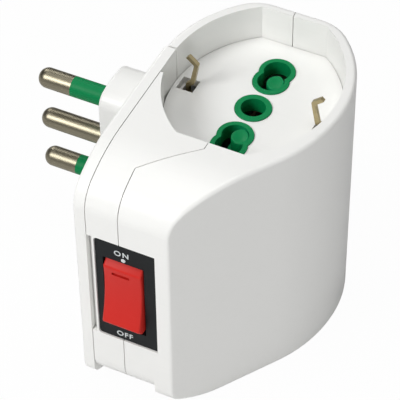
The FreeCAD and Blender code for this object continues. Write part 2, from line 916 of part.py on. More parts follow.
def make_shutter(side):
    """A sliding plate whose two discs close the outer holes."""
    body = new_body(f"{side}_shutter")
    level = span(side, shutter_top, shutter_under)
    bridge = box(s.bridge_inner, s.bridge_outer, -s.bridge_half_length, s.bridge_half_length)
    add(body, "bridge", "XY", [bridge], *level)
    for sign in POLES.values():
        middle = sign * s.inner_pin_circle
        half = s.shutter_disc - s.shutter_thickness / 2
        add(body, "arm", "XY", [box(s.shutter_offset, s.bridge_outer, middle - half, middle + half)],
            *level)
        add(body, "disc", "XY", [disc(s.shutter_offset, middle, s.shutter_disc)], *level)
    return body


def make_shutter_spring(side):
    """A thin wire coil between the shutter and the stop on the liner."""
    centre = from_rim(side, (shutter_top + shutter_under) / 2)
    length = tongue_reach - s.spring_stop_width - s.bridge_outer
    body = new_body(f"{side}_shutter_spring", s.bridge_outer, s.spring_place, centre)
    sketch = new_sketch(body, "wire", "XZ", 0, [disc(s.spring_wire, s.spring_radius, s.spring_wire)])
    coil = body.newObject("PartDesign::AdditiveHelix", "coil")
    coil.Profile = sketch
    axis = [item for item in body.Origin.OriginFeatures if item.Role == "X_Axis"][0]
    coil.ReferenceAxis = (axis, [""])
    coil.Mode = 0
    reach = length - s.spring_wire * 2
    coil.setExpression("Pitch", (reach / s.spring_turns).formula)
    coil.setExpression("Height", reach.formula)
    doc.recompute()
    return body


# Contacts and conductors

def make_contact(side, pole):
    """A U-shaped spring contact that grips one pole's pin, with a tongue to the busbar."""
    body = new_body(f"{side}_{pole}_contact")
    sign = POLES[pole]
    inner = s.contact_gap / 2
    outer = inner + s.strip
    top = from_rim(side, s.well_depth + s.contact_top)
    lead = from_rim(side, s.well_depth + s.contact_top + s.contact_lead)
    floor = from_rim(side, contact_depth - s.strip)
    under = from_rim(side, contact_depth)
    corners = [
        (-outer, under), (outer, under), (outer, lead), (outer + s.contact_flare, top),
        (inner + s.contact_flare, top), (inner, lead), (inner, floor), (-inner, floor),
        (-inner, lead), (-inner - s.contact_flare, top), (-outer - s.contact_flare, top),
        (-outer, lead),
    ]
    along = sorted_span(sign * s.contact_inner, sign * s.contact_outer)
    add(body, "channel", "XZ", [loop(corners)], *along)
    tongue = sorted_span(sign * (s.contact_outer - s.strip), sign * s.busbar_place)
    level = span(side, contact_depth - s.strip, contact_depth)
    add(body, "tongue", "XY", [box(-s.busbar_half_width, s.busbar_half_width, *tongue)], *level)
    return body


def make_busbar(pole):
    """An upright strip that joins the same pole of both sockets."""
    body = new_body(f"{pole}_busbar")
    sign = POLES[pole]
    across = sorted_span(sign * s.busbar_place, sign * (s.busbar_place + s.strip))
    end = contact_depth - s.strip
    strip = box(-s.busbar_half_width, s.busbar_half_width, *across)
    add(body, "strip", "XY", [strip], end, s.body_height - end)
    return body


def strap_outline(side):
    """The strap under the socket's face and its two legs, seen along the Y axis."""
    drop = s.well_depth + s.strap_drop
    shoulder = floor_depth + s.strip
    leg_inner = clip_foot - s.strip
    half = [
        (clip_foot, drop + s.strip),
        (clip_foot, shoulder),
        (leg_inner, shoulder),
        (leg_inner, drop),
    ]
    corners = [(x, from_rim(side, depth)) for x, depth in half]
    corners += [(-x, from_rim(side, depth)) for x, depth in half[::-1]]
    return loop(corners)


def clip_outline(side, sign):
    """One springy earth clip: up from its leg, in to the bulge and out again to the tip."""
    face = s.well_depth
    band = s.clip_band
    neck = clip_foot - s.clip_neck_lean
    bulge = clip_foot - s.clip_bulge_lean
    tip = clip_foot - s.clip_tip_lean
    leg_inner = clip_foot - s.strip
    chain = [
        (clip_foot, floor_depth + s.strip * 2),
        (clip_foot, face - s.clip_knee_height - s.clip_bulge_drop),
        (neck + band, face - s.clip_neck_height - s.clip_bulge_drop),
        (bulge + band, face - s.clip_bulge_height + s.clip_bulge_drop),
        (tip + s.clip_tip_slant, face - s.clip_height + s.clip_tip_slant),
        (tip, face - s.clip_height),
        (bulge, face - s.clip_bulge_height),
        (neck, face - s.clip_neck_height),
        (leg_inner, face - s.clip_knee_height),
        (leg_inner, floor_depth + s.strip * 2),
    ]
    return loop([(x * sign, from_rim(side, depth)) for x, depth in chain])


def make_earth_strap(side):
    body = new_body(f"{side}_earth_strap")
    half = s.strap_width / 2
    add(body, "strap", "XZ", [strap_outline(side)], -half, half)
    near_side = s.clip_offset - s.clip_width / 2
    far_side = s.clip_offset + s.clip_width / 2
    add(body, "clips", "XZ", [clip_outline(side, 1), clip_outline(side, -1)], near_side, far_side)
    bulge = clip_foot - s.clip_bulge_lean
    neck = clip_foot - s.clip_neck_lean
    bends = [bulge, bulge + s.clip_band, neck, neck + s.clip_band]
    round_edges(body, "bends", s.clip_bend,
                lambda point, edge: near(edge.Length, s.clip_width)
                and any(near(abs(point.x), bend) for bend in bends))
    drop = s.well_depth + s.strap_drop
    cup = span(side, drop, drop + s.earth_cup_length)
    add(body, "cup", "XY", [disc(0, 0, s.earth_cup_radius)], *cup)
    cut(body, "cup_bore", "XY", [disc(0, 0, s.earth_cup_bore)],
        *span(side, drop - OUTSIDE, drop + s.earth_cup_length + OUTSIDE))
    slit = s.strip / 2
    reach = s.earth_cup_radius + OUTSIDE
    for name, shape in (("slit_x", box(-reach, reach, -slit, slit)),
                        ("slit_y", box(-slit, slit, -reach, reach))):
        cut(body, name, "XY", [shape],
            *span(side, drop + s.strip * 2, drop + s.earth_cup_length + OUTSIDE))
    return body


def make_earth_busbar():
    body = new_body("earth_busbar")
    end = s.well_depth + s.strap_drop + s.strip
    half = s.strap_width / 2
    strip = box(-earth_pin_root, -earth_pin_root + s.strip, -half, half)
    add(body, "strip", "XY", [strip], end, s.body_height - end)
    return body


link_x = -pin_root
riser_face = -s.busbar_place - s.strip * 2
link_end = (-s.front_reach + s.barrel_depth + riser_face) / 2


def make_line_link():
    """A bent strip from the line pin's root to the common terminal of the switch."""
    body = new_body("line_link")
    z = pin_places()["line"]
    half = s.link_half_width
    low, high = z - half, z + half
    blade_left = -rocker_centre - s.lever_half_width
    blade_right = -rocker_centre + s.lever_half_width
    blade_top = pivot_z + s.strip / 2
    add(body, "run", "XY", [box(link_x, link_x + s.strip, link_end - s.strip, half)], low, high)
    add(body, "turn", "XY", [box(link_x, blade_right, link_end - s.strip, link_end)], low, high)
    add(body, "drop", "XY", [box(blade_left, blade_right, link_end - s.strip, link_end)],
        blade_top, high)
    return body


def make_neutral_link():
    """A bent strip from the neutral pin's root to the neutral busbar."""
    body = new_body("neutral_link")
    z = pin_places()["neutral"]
    half = s.link_half_width
    near_y, far_y = s.link_place - half, s.link_place + half
    level_low, level_high = mid - s.strip / 2, mid + s.strip / 2
    add(body, "foot", "XY", [box(link_x, link_x + s.strip, -half, far_y)], z - half, z + half)
    add(body, "riser", "XY", [box(link_x, link_x + s.strip, near_y, far_y)], z - half, level_high)
    add(body, "cross", "XY", [box(link_x, half, near_y, far_y)], level_low, level_high)
    add(body, "arm", "XY", [box(-half, half, near_y, s.busbar_place)], level_low, level_high)
    return body


# Breaker switch

opening_half = rocker_half_width + s.rocker_gap
opening_high = (s.rocker_half * cosine(s.rocker_tilt) + s.rocker_shoulder * sine(s.rocker_tilt)
                + s.rocker_gap)
bezel_face = -s.front_reach + s.bezel_recess
barrel_back = -s.front_reach + s.barrel_depth
barrel_floor = barrel_back - s.barrel_wall
lever_y = pivot_y + s.lever_depth


def around(half_x, half_z, fit=0):
    """A rectangle seen along the Y axis, centred on the rocker."""
    x, z = -rocker_centre, pivot_z
    return box(x - half_x - fit, x + half_x + fit, z - half_z - fit, z + half_z + fit)


def make_switch_frame():
    """The frame in the panel's window, with a flange and a closed barrel behind it."""
    body = new_body("switch_frame")
    fit = s.window_fit
    face = box(-window_left + fit, -window_right - fit, window_low + fit, window_high - fit)
    add(body, "bezel", "XZ", [face], bezel_face, panel_inner)
    round_edges(body, "bezel_corners", s.window_round - fit,
                lambda point, edge: near(point.x, -window_left + fit)
                and near(edge.Length, s.shell_wall - s.bezel_recess))
    margin = s.flange_margin
    flange = box(-window_left - margin, -window_right + s.flange_right_margin,
                 window_low - margin, window_high + margin)
    add(body, "flange", "XZ", [flange], panel_inner, panel_inner + s.flange_thickness)
    wall = s.barrel_wall
    add(body, "barrel", "XZ", [around(opening_half, opening_high, wall)], panel_inner, barrel_back)
    cut(body, "hollow", "XZ", [around(opening_half, opening_high)], bezel_face - OUTSIDE,
        barrel_floor)
    cut(body, "pivot_hole", "YZ", [disc(pivot_y, pivot_z, s.pivot_radius)],
        -rocker_centre - opening_half - wall - OUTSIDE,
        -rocker_centre + opening_half + wall + OUTSIDE)
    half = s.lever_half_width
    for name, z in (("common_slot", pivot_z), ("fixed_slot", fixed_blade_z())):
        slot = box(-rocker_centre - half - s.slot_fit, -rocker_centre + half + s.slot_fit,
                   z - s.strip / 2 - s.slot_fit, z + s.strip / 2 + s.slot_fit)
        cut(body, name, "XZ", [slot], barrel_floor - s.slot_fit, barrel_back + OUTSIDE)
    return body


def fixed_blade_z():
    return pivot_z - s.button_place - s.fixed_plate_half + s.strip / 2


def make_rocker():
    """The rocker, drawn level about its pivot and tilted with its upper end pressed in."""
    body = new_body("switch_rocker", -rocker_centre, pivot_y, pivot_z)
    turn_body(body, -1, s.rocker_tilt)
    ridge, half = -s.ridge_reach, s.ridge_half
    corners = [
        (ridge, half),
        (ridge, -half),
        (-s.rocker_shoulder, -s.rocker_half),
        (-s.rocker_skirt, -s.rocker_half),
        (s.rocker_tail, -s.rocker_tail_half),
        (s.rocker_tail, s.rocker_tail_half),
        (-s.rocker_skirt, s.rocker_half),
        (-s.rocker_shoulder, s.rocker_half),
    ]
    dish = (half * half + s.face_sag * s.face_sag) / (s.face_sag * 2)
    add(body, "block", "YZ", [loop(corners, {0: (dish, -1)})],
        -rocker_half_width, rocker_half_width)
    cut(body, "pivot_bore", "YZ", [disc(0, 0, s.pivot_radius + s.pivot_fit)],
        -rocker_half_width - OUTSIDE, rocker_half_width + OUTSIDE)
    round_edges(body, "front_edges", s.rocker_round,
                lambda point, edge: near(point.y, ridge) and near(edge.Length, rocker_half_width * 2))
    return body


def turn_body(body, sign, angle):
    """Turn a body about the X axis through its own origin."""
    rotation = FreeCAD.Rotation(FreeCAD.Vector(sign, 0, 0), angle.value)
    body.Placement = FreeCAD.Placement(body.Placement.Base, rotation)
    body.setExpression("Placement.Rotation.Angle", f"{angle.formula} * 1 deg")


def make_pivot_pin():
    body = new_body("rocker_pivot_pin", -rocker_centre, pivot_y, pivot_z)
    reach = opening_half + s.barrel_wall
    add(body, "pin", "YZ", [disc(0, 0, s.pivot_radius)], -reach, reach)
    return body


def make_contact_lever():
    """A see-saw strip with a contact button at its lower end."""
    body = new_body("contact_lever", -rocker_centre, lever_y, pivot_z)
    turn_body(body, 1, s.lever_tilt)
    half = s.lever_thickness / 2
    blade = box(-s.lever_half_width, s.lever_half_width, -s.lever_half, s.lever_half)
    add(body, "blade", "XZ", [blade], -half, half)
    add(body, "button", "XZ", [disc(0, -s.button_place, s.button_radius)], half,
        half + s.button_height)
    return body


def blade_outline(z):
    left = -rocker_centre - s.lever_half_width
    right = -rocker_centre + s.lever_half_width
    return box(left, right, z - s.strip / 2, z + s.strip / 2)


def make_common_terminal():
    """The blade whose inner edge carries the lever."""
    body = new_body("common_terminal")
    edge = lever_y + s.lever_thickness / 2 + s.lever_gap
    add(body, "blade", "XZ", [blade_outline(pivot_z)], edge, link_end)
    return body


def make_fixed_contact():
    """The button that the lever meets, its blade, and a riser to the line busbar."""
    body = new_body("fixed_contact")
    z = pivot_z - s.button_place
    left = -rocker_centre - s.lever_half_width
    right = -rocker_centre + s.lever_half_width
    half = s.fixed_plate_half
    plate_face = barrel_floor - s.strip
    add(body, "plate", "XZ", [box(left, right, z - half, z + half)], plate_face, barrel_floor)
    tip = s.lever_thickness / 2 + s.button_height
    button_face = (lever_y + tip * cosine(s.lever_tilt)
                   + (s.button_place + s.button_radius) * sine(s.lever_tilt) + s.lever_gap)
    add(body, "button", "XZ", [disc(-rocker_centre, z, s.button_radius)], button_face, plate_face)
    bar_face = -s.busbar_place - s.strip
    add(body, "blade", "XZ", [blade_outline(fixed_blade_z())], plate_face, bar_face)
    foot = fixed_blade_z() - s.strip / 2
    riser = box(left, s.busbar_half_width, riser_face, bar_face)
    add(body, "riser", "XY", [riser], foot, mid + s.link_half_width)
    return body


def make_bimetal():
    """The strip that bends as it warms and trips the switch."""
    body = new_body("bimetal_strip")
    left = -rocker_centre - s.lever_half_width
    right = -rocker_centre + s.lever_half_width
    root_z = pivot_z + s.strip / 2
    top = pivot_z + s.bimetal_place
    face = barrel_floor - s.bimetal_thickness
    add(body, "root", "XZ", [box(left, right, root_z, top)], face, barrel_floor)
    add(body, "tongue", "XZ", [box(left, right, top - s.bimetal_thickness, top)],
        barrel_floor - s.bimetal_length, barrel_floor)
    return body


# Fasteners

def make_screws():
    """Three equal self-tapping screws that hold the plate and both shells together."""
    body = new_body("assembly_screws")
    head = -plate_back
    seat = head + s.screw_head_height
    for number, (y, z) in enumerate(SCREWS, start=1):
        add(body, f"head_{number}", "YZ", [disc(y, z, s.screw_head_radius)], head, seat)
        add(body, f"shank_{number}", "YZ", [disc(y, z, s.screw_radius)], seat, -s.screw_end)
    return body


# Assembly

def make_all():
    pieces = [make_plug_plate(), make_inner_shell(), make_outer_shell()]
    for side in SIDES:
        for make in (make_face, make_liner, make_shutter, make_shutter_spring, make_earth_strap):
            pieces.append(make(side))
        pieces += [make_contact(side, pole) for pole in POLES]
    pieces += [make_busbar(pole) for pole in POLES]
    pieces += [make_pin(name) for name in pin_places()]
    pieces += [make_sleeve(pole) for pole in POLES]
    single = (
        make_earth_busbar,
        make_line_link,
        make_neutral_link,
        make_switch_frame,
        make_rocker,
        make_pivot_pin,
        make_contact_lever,
        make_common_terminal,
        make_fixed_contact,
        make_bimetal,
        make_screws,
    )
    return pieces + [make() for make in single]


def check_document():
    doc.recompute()
    for item in doc.Objects:
        if "Invalid" in item.State or "Error" in item.State:
            raise ValueError(f"{item.Name} failed: {item.State}")


def write_step(piece):
    if piece.Shape.isNull() or not piece.Shape.isValid():
        raise ValueError(f"{piece.Label} has no valid shape")
    piece.Shape.exportStep(f"parts/{piece.Label}.step")


parts = make_all()
check_document()
os.makedirs("parts", exist_ok=True)
for part in parts:
    write_step(part)
    print(part.Label, len(part.Shape.Solids))
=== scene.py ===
# %% [markdown]
# # Double socket adapter
# A wall plug with a mains socket in each end, moulded in white plastic, with a red breaker
# switch on its front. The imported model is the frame: it brings every piece in its right place.
# This lesson dresses those pieces with finishes, adds the small details that a moulded product
# carries, and lights and frames it like a catalogue picture.

# %% Load the frame
import bpy
import bmesh
import json
import math
from mathutils import Matrix, Vector


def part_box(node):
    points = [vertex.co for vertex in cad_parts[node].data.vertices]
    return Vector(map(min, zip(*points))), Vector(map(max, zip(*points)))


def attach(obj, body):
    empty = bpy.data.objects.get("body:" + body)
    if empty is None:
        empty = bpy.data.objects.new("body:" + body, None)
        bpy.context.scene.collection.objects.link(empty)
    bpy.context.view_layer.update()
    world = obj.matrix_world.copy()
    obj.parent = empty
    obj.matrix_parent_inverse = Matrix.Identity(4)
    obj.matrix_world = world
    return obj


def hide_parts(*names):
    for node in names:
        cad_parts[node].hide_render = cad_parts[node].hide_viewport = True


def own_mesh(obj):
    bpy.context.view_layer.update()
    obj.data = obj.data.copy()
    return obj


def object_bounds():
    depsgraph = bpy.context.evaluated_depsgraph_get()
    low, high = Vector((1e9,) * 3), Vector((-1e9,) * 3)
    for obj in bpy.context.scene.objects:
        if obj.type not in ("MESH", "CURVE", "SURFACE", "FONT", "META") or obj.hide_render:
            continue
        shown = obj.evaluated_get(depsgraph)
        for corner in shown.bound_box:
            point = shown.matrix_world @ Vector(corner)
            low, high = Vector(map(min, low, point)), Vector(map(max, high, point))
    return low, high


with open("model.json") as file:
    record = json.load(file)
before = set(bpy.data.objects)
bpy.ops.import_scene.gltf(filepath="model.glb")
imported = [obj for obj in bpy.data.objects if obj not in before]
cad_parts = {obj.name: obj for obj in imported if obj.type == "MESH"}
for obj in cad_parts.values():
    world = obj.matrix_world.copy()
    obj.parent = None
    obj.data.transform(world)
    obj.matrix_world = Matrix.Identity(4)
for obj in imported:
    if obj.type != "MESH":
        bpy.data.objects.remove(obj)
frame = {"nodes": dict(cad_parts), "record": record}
nodes = frame["nodes"]
cad_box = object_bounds()
MM = 0.001
print("pieces in the frame:", len(nodes))

# %% [markdown]
# The model's own origin is the middle of its foot. Most measures are easier from the axis
# through both sockets, so one helper turns millimetres from that axis into places in the scene.

# %% Places from the socket axis
AXIS_X = 16.35
AXIS_Y = 10.845
BODY_HEIGHT = 68.0
WELL_FLOOR = 58.7


def place(x, y, z):
    """A point given in millimetres from the socket axis and the lower rim."""
    return Vector(((x + AXIS_X) * MM, (y + AXIS_Y) * MM, z * MM))


low, high = cad_box
print("model box in mm:", [round(v / MM, 1) for v in (*low, *high)])

# %% [markdown]
# Finishes come next. Real mouldings are never one even colour: the surface has a fine grain
# from the steel mould, the gloss drifts a little from place to place, dust collects in corners
# and handling leaves marks. The same corners also get a painted shade, and the green a painted
# bounce light. Each of these effects is a node group with named inputs, built once, so that
# every finish can use it with its own values.

# %% Helpers for node groups
def new_group(name, inputs, outputs):
    """A shader node group with named sockets; inputs give a kind and a starting value."""
    group = bpy.data.node_groups.new(name, "ShaderNodeTree")
    for title, (kind, value) in inputs.items():
        socket = group.interface.new_socket(title, in_out="INPUT", socket_type=kind)
        socket.default_value = value
    for title, kind in outputs.items():
        group.interface.new_socket(title, in_out="OUTPUT", socket_type=kind)
    start = group.nodes.new("NodeGroupInput")
    end = group.nodes.new("NodeGroupOutput")
    return group, start, end


def add_node(tree, kind, **settings):
    """A node with its settings, made in one line."""
    node = tree.nodes.new(kind)
    for key, value in settings.items():
        setattr(node, key, value)
    return node


FLOAT = "NodeSocketFloat"
COLOUR = "NodeSocketColor"
print("socket kinds:", FLOAT, COLOUR)

# %% [markdown]
# The mould's grain is a fine noise in the model's own millimetres, laid over longer waves. The
# group gives the two together as one height for bump, and the waves alone as a mask that makes
# the gloss uneven.

# %% Mould grain
GRAIN_DETAIL = 3.0
MM_PER_METRE = 1000.0


def make_grain():
    """Fine grain and long waves in one group, both sized in millimetres."""
    group, start, end = new_group(
        "mould_grain",
        {"Grain Size mm": (FLOAT, 0.35), "Waviness mm": (FLOAT, 9.0), "Wave Share": (FLOAT, 0.4)},
        {"Height": FLOAT, "Uneven Gloss": FLOAT},
    )
    coords = add_node(group, "ShaderNodeTexCoord")
    heights = []
    for title in ("Grain Size mm", "Waviness mm"):
        per_metre = add_node(group, "ShaderNodeMath", operation="DIVIDE")
        per_metre.inputs[0].default_value = MM_PER_METRE
        group.links.new(start.outputs[title], per_metre.inputs[1])
        noise = add_node(group, "ShaderNodeTexNoise")
        noise.inputs["Detail"].default_value = GRAIN_DETAIL
        group.links.new(coords.outputs["Object"], noise.inputs["Vector"])
        group.links.new(per_metre.outputs[0], noise.inputs["Scale"])
        heights.append(noise.outputs["Fac"])
    mix = add_node(group, "ShaderNodeMix", data_type="FLOAT")
    group.links.new(start.outputs["Wave Share"], mix.inputs["Factor"])
    group.links.new(heights[0], mix.inputs["A"])
    group.links.new(heights[1], mix.inputs["B"])
    group.links.new(mix.outputs["Result"], end.inputs["Height"])
    group.links.new(heights[1], end.inputs["Uneven Gloss"])
    return group


mould_grain = make_grain()
print("group:", mould_grain.name)

# %% [markdown]
# Dust settles where two surfaces meet, and the same corners get a painted shade, for the green a
# painted bounce light. Ambient occlusion measures how closed-in a point is, and a noise breaks the
# tone up, so that corners change tone unevenly and open faces stay clean.

# %% Corner dust and painted shade
CORNER_TONE_PATCHES = 260.0
CORNER_TONE_DETAIL = 4.0


def make_dust_and_painted_light():
    """A second tone in corners, dust together with painted shade, and the mask that it follows."""
    group, start, end = new_group(
        "corner_dust_and_painted_light",
        {
            "Clean": (COLOUR, (0.8, 0.8, 0.8, 1.0)),
            "Dust": (COLOUR, (0.4, 0.38, 0.34, 1.0)),
            "Reach mm": (FLOAT, 1.5),
            "Amount": (FLOAT, 0.3),
        },
        {"Colour": COLOUR, "Mask": FLOAT},
    )
    reach = add_node(group, "ShaderNodeMath", operation="MULTIPLY")
    reach.inputs[1].default_value = MM
    closed = add_node(group, "ShaderNodeAmbientOcclusion", samples=8)
    group.links.new(start.outputs["Reach mm"], reach.inputs[0])
    group.links.new(reach.outputs[0], closed.inputs["Distance"])
    # The tone follows ambient occlusion, so besides dust it is painted shade in the corners.
    inside = add_node(group, "ShaderNodeMath", operation="SUBTRACT")
    inside.inputs[0].default_value = 1.0
    group.links.new(closed.outputs["AO"], inside.inputs[1])
    coords = add_node(group, "ShaderNodeTexCoord")
    patches = add_node(group, "ShaderNodeTexNoise")
    patches.inputs["Scale"].default_value = CORNER_TONE_PATCHES
    patches.inputs["Detail"].default_value = CORNER_TONE_DETAIL
    group.links.new(coords.outputs["Object"], patches.inputs["Vector"])
    broken = add_node(group, "ShaderNodeMath", operation="MULTIPLY")
    group.links.new(inside.outputs[0], broken.inputs[0])
    group.links.new(patches.outputs["Fac"], broken.inputs[1])
    strength = add_node(group, "ShaderNodeMath", operation="MULTIPLY", use_clamp=True)
    group.links.new(broken.outputs[0], strength.inputs[0])
    group.links.new(start.outputs["Amount"], strength.inputs[1])
    mix = add_node(group, "ShaderNodeMix", data_type="RGBA")
    group.links.new(strength.outputs[0], mix.inputs["Factor"])
    group.links.new(start.outputs["Clean"], mix.inputs["A"])
    group.links.new(start.outputs["Dust"], mix.inputs["B"])
    group.links.new(mix.outputs["Result"], end.inputs["Colour"])
    group.links.new(strength.outputs[0], end.inputs["Mask"])
    return group


corner_dust_and_painted_light = make_dust_and_painted_light()
print("group:", corner_dust_and_painted_light.name)

# %% [markdown]
# Handling leaves faint scratches. A noise that is stretched along one direction gives long thin
# marks, and a narrow ramp keeps only its crests. Metal that is plugged in and out gets them
# along the pin, so the stretch is an input.

# %% Handling marks
MARK_DETAIL = 2.0
MARK_STARTS = 0.55
MARK_FULL = 0.75


def make_marks():
    """Long thin marks along x, from the crests of a stretched noise."""
    group, start, end = new_group(
        "handling_marks",
        {"Along X": (FLOAT, 40.0), "Across": (FLOAT, 2500.0), "Amount": (FLOAT, 0.5)},
        {"Mask": FLOAT},
    )
    coords = add_node(group, "ShaderNodeTexCoord")
    stretch = add_node(group, "ShaderNodeCombineXYZ")
    for title, target in (("Along X", "X"), ("Across", "Y"), ("Across", "Z")):
        group.links.new(start.outputs[title], stretch.inputs[target])
    scaled = add_node(group, "ShaderNodeVectorMath", operation="MULTIPLY")
    group.links.new(coords.outputs["Object"], scaled.inputs[0])
    group.links.new(stretch.outputs[0], scaled.inputs[1])
    noise = add_node(group, "ShaderNodeTexNoise")
    noise.inputs["Scale"].default_value = 1.0
    noise.inputs["Detail"].default_value = MARK_DETAIL
    group.links.new(scaled.outputs[0], noise.inputs["Vector"])
    crest = add_node(group, "ShaderNodeMapRange")
    crest.inputs["From Min"].default_value = MARK_STARTS
    crest.inputs["From Max"].default_value = MARK_FULL
    group.links.new(noise.outputs["Fac"], crest.inputs["Value"])
    mask = add_node(group, "ShaderNodeMath", operation="MULTIPLY")
    group.links.new(crest.outputs["Result"], mask.inputs[0])
    group.links.new(start.outputs["Amount"], mask.inputs[1])
    group.links.new(mask.outputs[0], end.inputs["Mask"])
    return group


handling_marks = make_marks()
print("group:", handling_marks.name)

# %% [markdown]
# A finish is one material that places the three groups with its own values. The Principled
# shader stays in the material itself, with plain numbers on its own sockets wherever a value is
# the same all over.

# %% One builder for every finish
GLOSS_DRIFT = 0.07
CORNER_TONE_DULLS = 0.4


def place_group(tree, group, **values):
    """A group in a material, with values for its named inputs."""
    node = add_node(tree, "ShaderNodeGroup", node_tree=group)
    for title, value in values.items():
        node.inputs[title.replace("_", " ")].default_value = value
    return node


def rgb(red, green, blue):
    """A colour in the form that sockets take."""
    return (red, green, blue, 1.0)


def make_finish(name, colour, dust_and_light_tone, gloss, grain=0.35, bump=0.02, metal=0.0, dust_and_light_amount=0.5,
                reach=1.6, marks=0.25, mark_tone=None, along=60.0, across=900.0, shine=0.5):
    """A moulded or plated finish: base colour, corner dust and painted shade, uneven gloss, fine
    grain.
    """
    material = bpy.data.materials.new(name)
    material.use_nodes = True
    tree = material.node_tree
    shader = tree.nodes["Principled BSDF"]
    shader.inputs["Metallic"].default_value = metal
    shader.inputs["Specular IOR Level"].default_value = shine
    surface = place_group(tree, mould_grain, Grain_Size_mm=grain)
    # The corner tone is dust with painted shade; for the green it is a painted bounce light.
    dust_and_light = place_group(tree, corner_dust_and_painted_light, Clean=colour, Dust=dust_and_light_tone, Reach_mm=reach,
                       Amount=dust_and_light_amount)
    scratches = place_group(tree, handling_marks, Along_X=along, Across=across, Amount=marks)
    worn = add_node(tree, "ShaderNodeMix", data_type="RGBA")
    worn.inputs["B"].default_value = mark_tone or colour
    tree.links.new(scratches.outputs["Mask"], worn.inputs["Factor"])
    tree.links.new(dust_and_light.outputs["Colour"], worn.inputs["A"])
    tree.links.new(worn.outputs["Result"], shader.inputs["Base Color"])
    rough = add_node(tree, "ShaderNodeMapRange")
    rough.inputs["To Min"].default_value = gloss - GLOSS_DRIFT
    rough.inputs["To Max"].default_value = gloss + GLOSS_DRIFT
    tree.links.new(surface.outputs["Uneven Gloss"], rough.inputs["Value"])
    dull = add_node(tree, "ShaderNodeMath", operation="MULTIPLY_ADD", use_clamp=True)
    dull.inputs[1].default_value = CORNER_TONE_DULLS
    tree.links.new(dust_and_light.outputs["Mask"], dull.inputs[0])
    tree.links.new(rough.outputs["Result"], dull.inputs[2])
    tree.links.new(dull.outputs[0], shader.inputs["Roughness"])
    relief = add_node(tree, "ShaderNodeBump")
    relief.inputs["Strength"].default_value = 1.0
    relief.inputs["Distance"].default_value = bump * MM
    tree.links.new(surface.outputs["Height"], relief.inputs["Height"])
    tree.links.new(relief.outputs["Normal"], shader.inputs["Normal"])
    return material


# %% [markdown]
# The housing is glossy white plastic, warm by a hair. The green of the sleeves and hole linings
# is deep, and its corner tone is the brighter one, because light that falls into a hole bounces
# between green walls. The switch frame is nearly black and dull, the rocker a satin red. The
# pins are nickel plated and dulled by use, the earth clips are springy brass with an olive tone.

# %% The finishes
# Each finish's second colour is its corner tone: dust with painted shade, and for the green a
# painted bounce light.
finishes = {
    "white_plastic": make_finish(
        "white_plastic", rgb(0.84, 0.84, 0.82), rgb(0.5, 0.49, 0.46), 0.34,
        bump=0.012, dust_and_light_amount=0.35, marks=0.06, mark_tone=rgb(0.7, 0.7, 0.68)),
    "green_plastic": make_finish(
        "green_plastic", rgb(0.001, 0.21, 0.065), rgb(0.008, 0.36, 0.16), 0.45,
        grain=0.2, bump=0.01, dust_and_light_amount=1.4, marks=0.15, mark_tone=rgb(0.008, 0.28, 0.11),
        shine=0.15),
    "black_plastic": make_finish(
        "black_plastic", rgb(0.005, 0.007, 0.008), rgb(0.03, 0.033, 0.033), 0.5,
        grain=0.25, bump=0.02, dust_and_light_amount=0.4, marks=0.12, mark_tone=rgb(0.02, 0.023, 0.026),
        shine=0.2),
    "red_plastic": make_finish(
        "red_plastic", rgb(0.57, 0.02, 0.014), rgb(0.2, 0.012, 0.012), 0.45,
        grain=0.5, bump=0.01, dust_and_light_amount=0.3, marks=0.1, mark_tone=rgb(0.62, 0.05, 0.04),
        shine=0.2),
    "nickel": make_finish(
        "nickel", rgb(0.27, 0.245, 0.18), rgb(0.1, 0.08, 0.05), 0.38,
        grain=0.3, bump=0.004, metal=1.0, dust_and_light_amount=0.5, marks=0.5,
        mark_tone=rgb(0.16, 0.135, 0.085), along=30.0, across=1800.0),
    "brass": make_finish(
        "brass", rgb(0.42, 0.35, 0.2), rgb(0.12, 0.09, 0.045), 0.34,
        grain=0.3, bump=0.006, metal=1.0, dust_and_light_amount=0.5, marks=0.4,
        mark_tone=rgb(0.24, 0.19, 0.1), along=200.0, across=1500.0),
    "steel": make_finish(
        "steel", rgb(0.55, 0.55, 0.54), rgb(0.25, 0.24, 0.22), 0.35,
        grain=0.3, bump=0.006, metal=1.0, dust_and_light_amount=0.4, marks=0.3,
        mark_tone=rgb(0.4, 0.4, 0.39)),
}
print("finishes:", ", ".join(finishes))

# %% [markdown]
# Every piece of the frame knows its material slot from the record. Its own mesh stays as it is;
# only the material changes. Curved faces are made of flat facets, so faces that meet at a
# shallow angle are shaded as one smooth surface, and true edges stay crisp.

# %% Dress the frame
SMOOTH_ANGLE = math.radians(28)
slot_of = {item["node"]: item["material_slot"] for item in frame["record"]["subparts"]}
for name, node in nodes.items():
    node.material_slots[0].material = finishes[slot_of[name]]
    node.data.shade_smooth()
    node.data.set_sharp_from_angle(angle=SMOOTH_ANGLE)
print("dressed:", len(nodes))

# %% [markdown]
# The rocker is the piece the eye goes to. The frame's version has the right outline but knife
# edges at its sides, so a finer one stands in for it: the same side view, drawn as a closed
# outline, pushed out to the rocker's width, and rounded by a bevel on every long edge. It is
# built level about its pivot and then tilted with its upper end pressed in.

# %% Measures of the switch
ROCKER_CENTRE = -11.0
PIVOT_Y = -38.25
SWITCH_Z = 34.5
BEZEL_FACE = -43.45
TILT = math.radians(-6.0)
ROCKER_HALF_WIDTH = 4.65
FACE_STEPS = 14
FACE_RIDGE = 7.0
FACE_HALF = 8.4
FACE_SAG = 0.9


def face_dish():
    """Points of the rocker's hollow face, from its upper ridge to its lower one."""
    radius = (FACE_HALF * FACE_HALF + FACE_SAG * FACE_SAG) / (2 * FACE_SAG)
    centre = -FACE_RIDGE + FACE_SAG - radius
    points = []
    for step in range(FACE_STEPS + 1):
        z = FACE_HALF - 2 * FACE_HALF * step / FACE_STEPS
        points.append((centre + math.sqrt(radius * radius - z * z), z))
    return points


